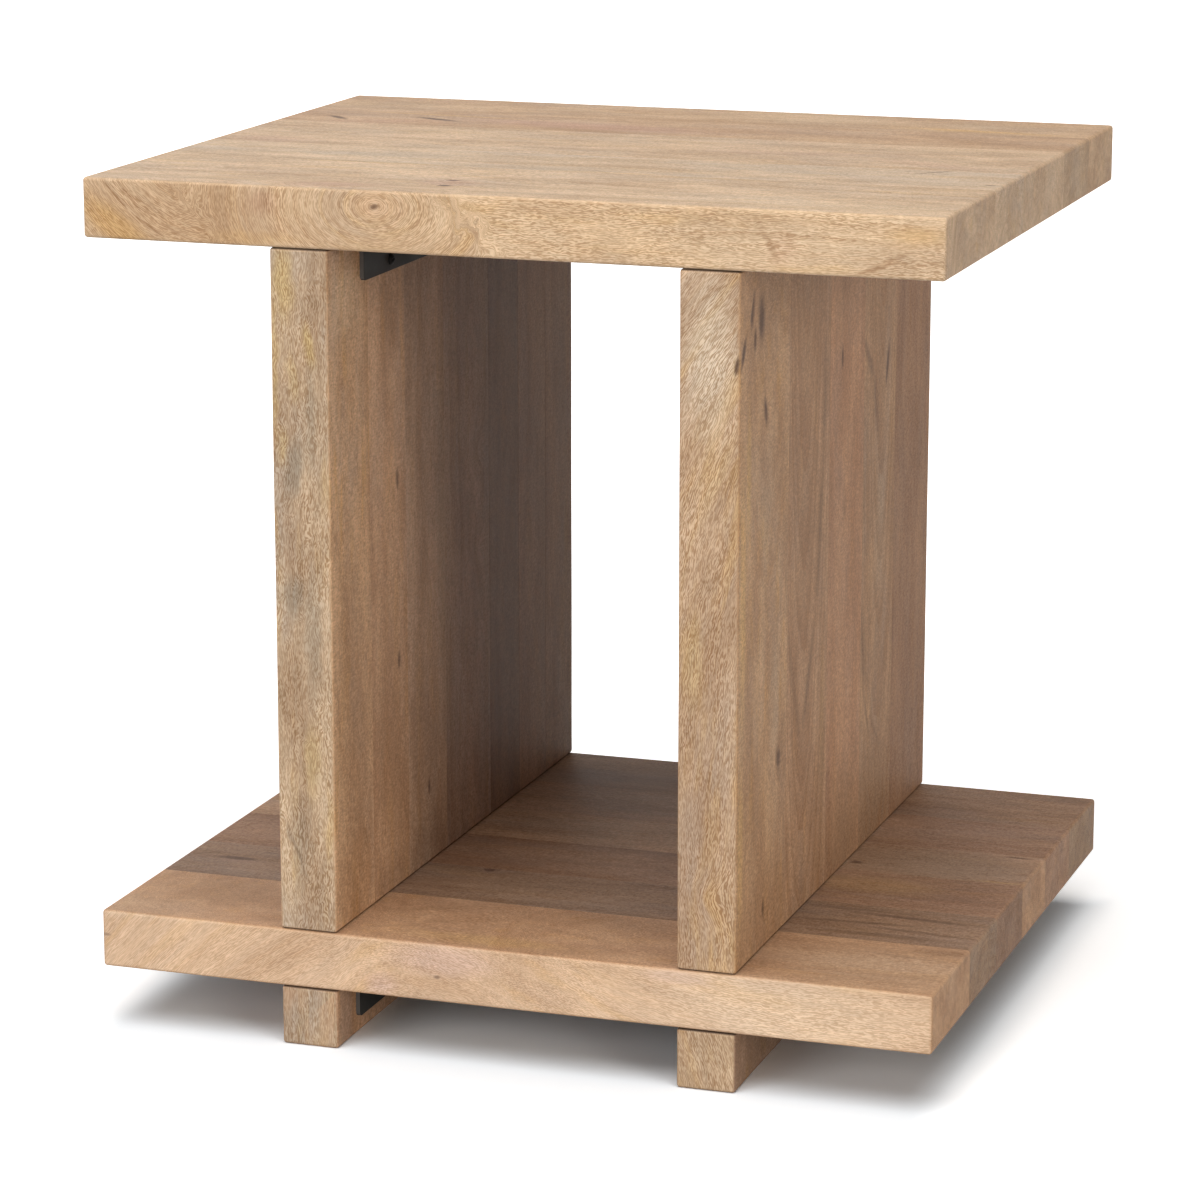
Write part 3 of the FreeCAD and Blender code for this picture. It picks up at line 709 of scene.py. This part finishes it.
# Top slab: five boards of the same wood, edge-glued and eased like the base, and set on the panels. The front
# board holds a branch knot, whose rings show on the front edge.
TOP_FIGURE = dict(contrast=0.85, stretch=0.8, flecks=0.11)
TOP_BOARDS = {
    "top_board_1": dict(
        seed=41, tone=(0.62, 0.445, 0.295), edge=(1.07, 1.05, 1.0), ends=(0.93, 0.91, 0.9), grey=0.3,
        gold=0.3, brown=0.2, dashes=(0.6, 0.8), ring=5.0, rings=0.4, ringed=0.25, curl=3.5, calm=45.0,
        **TOP_FIGURE,
        eyes=((-90, 599, 1.0, 1.5, -60.0, -4, 20), (-210, 662, 1.2, 1.2, -22.0, -198, -176)),
        knots=((-57, -191, 9, 9), (-54, -217, 9, 9)),
        marks=dict(
            mineral=((-57, -191, 5.5, 4.5, 0, 0.85), (-54, -217, 5.5, 4.5, 0, 0.9)),
            rosy=((-56, -204, 28, 22, 0, 0.55), (-130, -236, 46, 14, 10, 0.6)),
            brown=((-190, -180, 80, 34, 0, 0.22),),
            pale=((210, -235, 140, 40, 0, 0.35),)),
        edge_marks=dict(
            mineral=((-90, 599, 4, 2.2, -10, 0.85),),
            gold=((-280, 577, 36, 13, 33, 0.75), (-180, 574, 40, 6, 0, 0.3), (285, 597, 24, 8, 0, 0.35)),
            pale=((-146, 598, 16, 12, 0, 0.3), (150, 590, 150, 20, 0, 0.25)),
            brown=((-225, 585, 110, 40, 0, 0.45), (262, 577, 20, 3, -24, 0.5), (186, 588, 20, 3, 60, 0.4),
                   (-279, 597, 18, 1.5, 46, 0.9), (-256, 578.5, 21, 1.5, 33, 0.9),
                   (-268, 596.5, 21, 1.5, 50, 0.8), (-240.5, 577, 23, 1.5, 23, 0.75),
                   (-252.5, 597.5, 17, 1.4, 45, 0.6), (-231, 583.5, 16, 1.4, 21, 0.5),
                   (-231.5, 599, 11, 1.3, 55, 0.4), (-221, 587.5, 12, 1.3, 42, 0.4),
                   (-209, 597, 12, 1.4, 80, 0.4), (-203, 583, 14, 1.4, 52, 0.4),
                   (-190, 575, 14, 1.4, 30, 0.35), (-19, 585, 20, 2.0, 56, 0.35)),
            rosy=((-172, 598, 14, 11, 0, 0.5), (-88, 599, 22, 12, 0, 0.3), (195, 585, 12, 14, 25, 0.4)))),
    "top_board_2": dict(
        seed=42, tone=(0.605, 0.44, 0.295), ends=(0.93, 0.91, 0.9), grey=0.55, gold=0.2, brown=0.2,
        **TOP_FIGURE,
        marks=dict(
            mineral=((248, -43, 30, 2.4, 46, 0.55), (296, -99, 5, 3, 0, 0.6)),
            ash=((-90, -78, 130, 24, 0, 0.35), (130, -66, 60, 20, 0, 0.3)),
            gold=((-130, -122, 80, 4, 0, 0.4), (30, -120, 50, 4, 0, 0.35)))),
    "top_board_3": dict(
        seed=43, tone=(0.58, 0.41, 0.27), gold=0.2, brown=0.25, **TOP_FIGURE,
        marks=dict(
            rosy=((-262, -22, 40, 22, 0, 0.45), (230, -10, 60, 14, -20, 0.35), (120, 20, 90, 12, 8, 0.3)),
            ash=((200, 60, 100, 18, 0, 0.35),))),
    "top_board_4": dict(
        seed=44, tone=(0.49, 0.32, 0.198), ends=(0.94, 0.99, 1.02), gold=0.2, brown=0.3, **TOP_FIGURE,
        marks=dict(
            mineral=((-265, 115, 17, 4.5, -43, 0.9), (-188, 126, 26, 5, -22, 0.9)),
            rosy=((-65, 122, 120, 24, -5, 0.7), (-230, 100, 60, 14, 20, 0.4)),
            gold=((-180, 150, 90, 4, -5, 0.35),))),
    "top_board_5": dict(
        seed=45, tone=(0.51, 0.34, 0.21), gold=0.2, brown=0.25, **TOP_FIGURE,
        marks=dict(
            gold=((220, 184, 75, 7, -6, 0.5), (-200, 160, 70, 4, 0, 0.35)),
            ash=((230, 215, 70, 22, 0, 0.5), (-250, 200, 50, 40, 0, 0.35)),
            brown=((-240, 240, 90, 26, 0, 0.25), (240, 240, 90, 24, 0, 0.22)),
            pale=((70, 225, 90, 50, 0, 0.25),))),
}
glued_slab(TOP_BOARDS, ALONG_X, "top_wood")

# Steel angles: strips of 3 mm sheet, folded lengthwise and coated in satin black. One sits in each inside
# corner under the top and under the base, between the slab and a panel or runner, and ties them together.
ANGLE_LEG = 30.0 * MM
ANGLE_STEEL = 3.0 * MM
ANGLE_BEND = 1.5 * MM
ANGLE_CORNER = 4.0 * MM
COAT_EDGE = 0.45 * MM
ANGLE_STATIONS, FOLD_STEPS = 14, 8
COAT_DARK, COAT_DUSTY = (0.047, 0.045, 0.043), (0.058, 0.055, 0.052)
# The cut ends are coloured light grey: a painted highlight on the sheet's ends.
COAT_END_HIGHLIGHT = (0.17, 0.165, 0.162)
INWARD = {"left": 1.0, "right": -1.0}


def folded_angle(name, low, high, inward):
    """An L-shaped section carried along Y: out on one face of the sheet, round the fold, back on the other.

    The fold is two quarter circles about one centre. Towards each end the legs shorten along a quarter
    circle, which rounds their free corners.
    """
    length = high[ALONG_Y] - low[ALONG_Y]
    turn = np.linspace(0.0, math.pi / 2, FOLD_STEPS + 1)
    end_arc = ANGLE_CORNER * (1.0 - np.cos(turn))
    middle = np.linspace(ANGLE_CORNER, length - ANGLE_CORNER, ANGLE_STATIONS)[1:-1]
    stations = np.concatenate([end_arc, middle, length - end_arc[::-1]])[:, None]
    tip = ANGLE_LEG - drawn_in(np.minimum(stations, length - stations), ANGLE_CORNER)
    outer = ANGLE_STEEL + ANGLE_BEND
    level = np.ones_like(tip)
    back = turn[::-1]
    from_wall = [0 * level, level * (outer - outer * np.cos(turn)), tip, tip,
                 level * (outer - ANGLE_BEND * np.cos(back)), ANGLE_STEEL * level]
    from_slab = [tip, level * (outer - outer * np.sin(turn)), 0 * level, ANGLE_STEEL * level,
                 level * (outer - ANGLE_BEND * np.sin(back)), tip]
    heel = low[ALONG_X] if inward > 0 else high[ALONG_X]
    x = heel + inward * np.concatenate(from_wall, axis=1)
    z = high[ALONG_Z] - np.concatenate(from_slab, axis=1)
    points = np.stack([x, np.broadcast_to(low[ALONG_Y] + stations, x.shape), z], axis=-1)

    count = x.shape[1]
    quads, _, _ = ring_quads(len(stations), count)
    ring = np.arange(count)
    faces = quads.tolist() + [ring[::-1].tolist(), (ring + (len(stations) - 1) * count).tolist()]
    if inward < 0:
        faces = [face[::-1] for face in faces]
    mesh = bpy.data.meshes.new(name)
    mesh.from_pydata(points.reshape(-1, 3).tolist(), [], faces)
    mesh.update()
    return mesh


def satin_coat(name):
    """Black powder coat: fine dimples, a faint cloudy sheen, a little dust, and a painted highlight on the
    cut ends.
    """
    f = Finish(name)
    dimple = f.noise(f.sized(f.place, [0.7 * MM] * 3), 1.0)
    sheen = f.rise(f.noise(f.sized(f.place, (20.0 * MM, 60.0 * MM, 20.0 * MM)), 3.0), 0.35, 0.65)
    dust = f.rise(f.noise(f.sized(f.place, [4.0 * MM] * 3), 4.0, 0.7), 0.5, 0.75)
    f.bump(dimple, 0.06 * MM, 0.5)
    # Painted highlight: the cut ends, facing along Y, are coloured light grey.
    end_highlight = f.rise(f.math("ABSOLUTE", f.part(f.node("TexCoord", out="Normal"), ALONG_Y)), 0.4, 0.9)
    colour = f.blend(end_highlight, f.blend(dust, COAT_DARK, COAT_DUSTY), COAT_END_HIGHLIGHT)
    f.dress(Base_Color=colour, Roughness=f.ramp(sheen, 0.0, 1.0, 0.48, 0.6), Specular_IOR_Level=0.02)
    return f.material


coat = satin_coat("satin_black_coat")
for side, inward in INWARD.items():
    for level in ("top", "runner"):
        node = f"{side}_{level}_angle"
        angle = place_piece("coated_" + node, folded_angle(node + "_mesh", *corners(node), inward), coat,
                            "black_angle", node)
        edges = angle.modifiers.new("coat_edges", "BEVEL")
        edges.width = COAT_EDGE
        edges.segments = 2
        edges.limit_method = "ANGLE"
        edges.angle_limit = math.radians(50.0)

# Angle screws: black pan-head wood screws with a cross recess. They are driven through each angle in two
# rows, four into the panel or runner and three up into the slab.
HEAD_RADIUS = 4.25 * MM
HEAD_HEIGHT = 2.8 * MM
HEAD_RIM = 0.7 * MM
HEAD_FOOT, FOOT_SHARE = 0.1 * MM, 0.97
SHANK_RADIUS = 2.0 * MM
SHANK_LENGTH = 25.0 * MM
SHANK_TIP = 3.5 * MM
THREAD_PITCH = 2.2 * MM
THREAD_DEPTH = 0.5 * MM
RECESS_DEPTH = 1.5 * MM
RECESS_REACH = 2.2 * MM
RECESS_HALF_WIDTH = 0.45 * MM
RECESS_SOFT = 0.25 * MM
POLE = 0.02 * MM
SCREW_SIDES, HEAD_RINGS, SHANK_RINGS = 48, 24, 70
SLAB_LINE = 17.0 * MM

# The rows of screws, in mm: how far the wall row lies below the slab, and the places of both along Y.
SCREW_ROWS = {"top": {"wall_line": 22.0, "wall": (-144, -48, 48, 144), "slab": (-95, 0, 95)},
              "runner": {"wall_line": 17.0, "wall": (-165, -55, 55, 165), "slab": (-110, 0, 110)}}


def pan_head_screw():
    """One screw on a polar grid: rings of points from crown to tip, in its own frame with the head up.

    The head is a ball's cap above a straight rim, less the recess: two crossed bars with softened sides.
    The shank is a cylinder with a cone at its tip, whose radius falls and rises as a saw of height and turn,
    which is a helix.
    """
    turn = np.linspace(0.0, 2 * math.pi, SCREW_SIDES, endpoint=False)
    rise = HEAD_HEIGHT - HEAD_RIM
    ball = (HEAD_RADIUS**2 + rise**2) / (2 * rise)
    head = np.linspace(POLE, HEAD_RADIUS, HEAD_RINGS)
    crown = HEAD_HEIGHT - ball + np.sqrt(ball**2 - head**2)
    shank = np.linspace(0.0, -SHANK_LENGTH, SHANK_RINGS)
    cone = np.clip((SHANK_LENGTH + shank) / SHANK_TIP, 0.02, 1.0)
    radius = np.concatenate([head, [HEAD_RADIUS, HEAD_RADIUS * FOOT_SHARE], SHANK_RADIUS * cone])[:, None]
    height = np.concatenate([crown, [HEAD_FOOT, 0.0], shank])[:, None]
    x, y = radius * np.cos(turn), radius * np.sin(turn)

    def bar(along, across):
        inside = np.clip((RECESS_HALF_WIDTH + RECESS_SOFT - np.abs(across)) / RECESS_SOFT, 0.0, 1.0)
        return inside * np.clip((RECESS_REACH + RECESS_SOFT - np.abs(along)) / RECESS_SOFT, 0.0, 1.0)

    on_head = np.arange(len(radius))[:, None] < len(head)
    sunk = RECESS_DEPTH * np.maximum(bar(x, y), bar(y, x)) * on_head
    on_shank = np.arange(len(radius))[:, None] > len(head) + 2
    saw = np.abs(1.0 - 2.0 * ((height / THREAD_PITCH + turn / (2 * math.pi)) % 1.0))
    slim = 1.0 - on_shank * saw * THREAD_DEPTH / SHANK_RADIUS
    return np.stack([x * slim, y * slim, height - sunk], axis=-1)


def screw_group(name, seats, outs):
    """The same screw at every seat: its head points along out, with the recess square to the table."""
    screw = pan_head_screw()
    rings, count = screw.shape[:2]
    upright = np.array([0.0, 1.0, 0.0])
    sideways = np.cross(upright, outs)
    frames = np.stack([sideways, np.broadcast_to(upright, outs.shape), outs], axis=1)
    points = seats[:, None, :] + np.einsum("pk,skj->spj", screw.reshape(-1, 3), frames)
    quads, _, _ = ring_quads(rings, count)
    quads = quads[:, ::-1]
    ring = np.arange(count)
    faces = []
    for number in range(len(seats)):
        start = number * rings * count
        faces += (quads + start).tolist()
        faces.append((ring + start).tolist())
        faces.append((ring[::-1] + start + (rings - 1) * count).tolist())
    mesh = bpy.data.meshes.new(name)
    mesh.from_pydata(points.reshape(-1, 3).tolist(), [], faces)
    mesh.polygons.foreach_set("use_smooth", np.ones(len(faces), bool))
    mesh.update()
    return mesh


def black_oxide(name):
    """Blackened steel: a dark oxide finish in two near tones, with a soft uneven gloss."""
    f = Finish(name)
    tone = f.rise(f.noise(f.sized(f.place, [2.5 * MM] * 3), 3.0), 0.35, 0.65)
    f.bump(f.noise(f.sized(f.place, [0.5 * MM] * 3), 1.0), 0.03 * MM, 0.4)
    f.dress(Base_Color=f.blend(tone, (0.014, 0.014, 0.015), (0.024, 0.023, 0.022)),
            Roughness=f.ramp(tone, 0.0, 1.0, 0.36, 0.48), Specular_IOR_Level=0.05)
    return f.material


oxide = black_oxide("black_oxide_steel")
for side, inward in INWARD.items():
    for level, rows in SCREW_ROWS.items():
        low, high = corners(f"{side}_{level}_angle")
        heel = low[ALONG_X] if inward > 0 else high[ALONG_X]
        ceiling = high[ALONG_Z]
        wall_line = ceiling - rows["wall_line"] * MM
        seats = [(heel + inward * ANGLE_STEEL, y * MM, wall_line) for y in rows["wall"]]
        seats += [(heel + inward * SLAB_LINE, y * MM, ceiling - ANGLE_STEEL) for y in rows["slab"]]
        outs = [(inward, 0.0, 0.0)] * len(rows["wall"]) + [(0.0, 0.0, -1.0)] * len(rows["slab"])
        node = f"{side}_{level}_angle_screws"
        mesh = screw_group(node + "_mesh", np.array(seats), np.array(outs))
        place_piece("driven_" + node, mesh, oxide, "black_screw", node)

# Floor, light and camera: a white studio floor, broad soft boxes overhead, at both sides of the camera and
# low behind, and the photograph's viewpoint through a 130 mm lens. The floor and the air look white, and the
# floor keeps the shadow. Seen directly, the floor is painted brighter round the table, which washes out the
# soft outer shadow, and cooler under and just before it, against the warm cast of its shadow.
FLOOR_HALF = 30.0
FLOOR_APRON = 45.0 * MM
FLOOR_FADE = (-15.0 * MM, 25.0 * MM)

# The floor's colour for soft light, and as seen directly: under the table and just before it, a painted cool
# tint against the warm cast in its shadow, and all round it, painted brighter, which washes out the soft
# outer shadow.
FLOOR_BOUNCE, FLOOR_SEEN_COOL_TINT, FLOOR_SIDES_PAINTED_BRIGHT = (0.4, 0.4, 0.4), (1.04, 1.075, 1.11), (1.6, 1.6, 1.6)


def seen_directly(tree):
    """1 for rays from the camera and for mirror and glass rays, and 0 for the rays that carry soft light."""
    path = tree.nodes.new("ShaderNodeLightPath")
    seen = path.outputs["Is Camera Ray"]
    for kind in ("Is Glossy Ray", "Is Transmission Ray"):
        either = tree.nodes.new("ShaderNodeMath")
        either.operation = "MAXIMUM"
        tree.links.new(seen, either.inputs[0])
        tree.links.new(path.outputs[kind], either.inputs[1])
        seen = either.outputs[0]
    return seen


paper = Finish("floor_paper")
along_floor = paper.part(paper.place, ALONG_Y)
beside = paper.math("SUBTRACT", paper.math("ABSOLUTE", paper.part(paper.place, ALONG_X)), cad_box[1][0])
behind = paper.math("SUBTRACT", along_floor, cad_box[1][1])
before = paper.math("SUBTRACT", cad_box[0][1] - FLOOR_APRON, along_floor)
clear = paper.math("MAXIMUM", paper.math("MAXIMUM", beside, behind), before)
# Seen directly, the floor is painted: a cool tint under and before the table, brighter all round it.
painted_floor_colour = paper.blend(paper.rise(clear, *FLOOR_FADE), FLOOR_SEEN_COOL_TINT, FLOOR_SIDES_PAINTED_BRIGHT)
painted_floor_colour = paper.blend(seen_directly(paper.tree), FLOOR_BOUNCE, painted_floor_colour)
paper.dress(Base_Color=painted_floor_colour, Roughness=1.0, Specular_IOR_Level=0.0)
sheet = bpy.data.meshes.new("studio_floor")
sheet.from_pydata([(-FLOOR_HALF, -FLOOR_HALF, 0), (FLOOR_HALF, -FLOOR_HALF, 0),
                   (FLOOR_HALF, FLOOR_HALF, 0), (-FLOOR_HALF, FLOOR_HALF, 0)], [], [(0, 1, 2, 3)])
sheet.materials.append(paper.material)
floor = bpy.data.objects.new("studio_floor", sheet)
bpy.context.scene.collection.objects.link(floor)


def soft_box(name, towards, level, spread, colour=(1.0, 1.0, 1.0)):
    """A lamp as broad as a soft box. Level is the light it lays on a surface facing it, where 1 is white."""
    lamp = bpy.data.lights.new(name, "SUN")
    lamp.energy = level * math.pi
    lamp.angle = math.radians(spread)
    lamp.color = colour
    holder = bpy.data.objects.new(name, lamp)
    holder.rotation_euler = Vector(towards).to_track_quat("Z", "Y").to_euler()
    bpy.context.scene.collection.objects.link(holder)


soft_box("overhead_box", (0.0, -0.29, 0.957), 0.75, 62.0)
soft_box("left_box", (-0.45, -0.88, 0.12), 0.61, 44.0)
soft_box("right_box", (0.80, -0.56, 0.22), 0.358, 26.0, (1.0, 0.95, 0.88))
soft_box("rear_box", (-0.62, 0.78, 0.04), 0.22, 40.0)

AIR_FRONT, AIR_REAR = 0.14, 0.02
world = bpy.data.worlds.new("studio_air")
bpy.context.scene.world = world
world.use_nodes = True
air = world.node_tree
strength = air.nodes.new("ShaderNodeMapRange")
air.links.new(seen_directly(air), strength.inputs["Value"])
way = air.nodes.new("ShaderNodeSeparateXYZ")
air.links.new(air.nodes.new("ShaderNodeTexCoord").outputs["Generated"], way.inputs[0])
depth = air.nodes.new("ShaderNodeMapRange")
air.links.new(way.outputs["Y"], depth.inputs["Value"])
depth.inputs["From Min"].default_value = -1.0
depth.inputs["To Min"].default_value = AIR_FRONT
depth.inputs["To Max"].default_value = AIR_REAR
air.links.new(depth.outputs["Result"], strength.inputs["To Min"])
air.links.new(strength.outputs["Result"], air.nodes["Background"].inputs["Strength"])
air.nodes["Background"].inputs["Color"].default_value = (1.0, 1.0, 1.0, 1.0)

FOCAL_LENGTH, SENSOR_WIDTH, FAR_CLIP = 130.0, 36.0, 200.0
CAMERA_PLACE = (0.9754, -2.9455, 1.0101)
CAMERA_DROP, CAMERA_TURN = 13.28, 18.6
bpy.context.scene.view_settings.view_transform = "Standard"
lens = bpy.data.cameras.new("photo_camera")
lens.lens = FOCAL_LENGTH
lens.sensor_width = SENSOR_WIDTH
lens.clip_end = FAR_CLIP
camera = bpy.data.objects.new("photo_camera", lens)
camera.location = CAMERA_PLACE
camera.rotation_euler = (math.radians(90.0 - CAMERA_DROP), 0.0, math.radians(CAMERA_TURN))
bpy.context.scene.collection.objects.link(camera)
bpy.context.scene.camera = camera
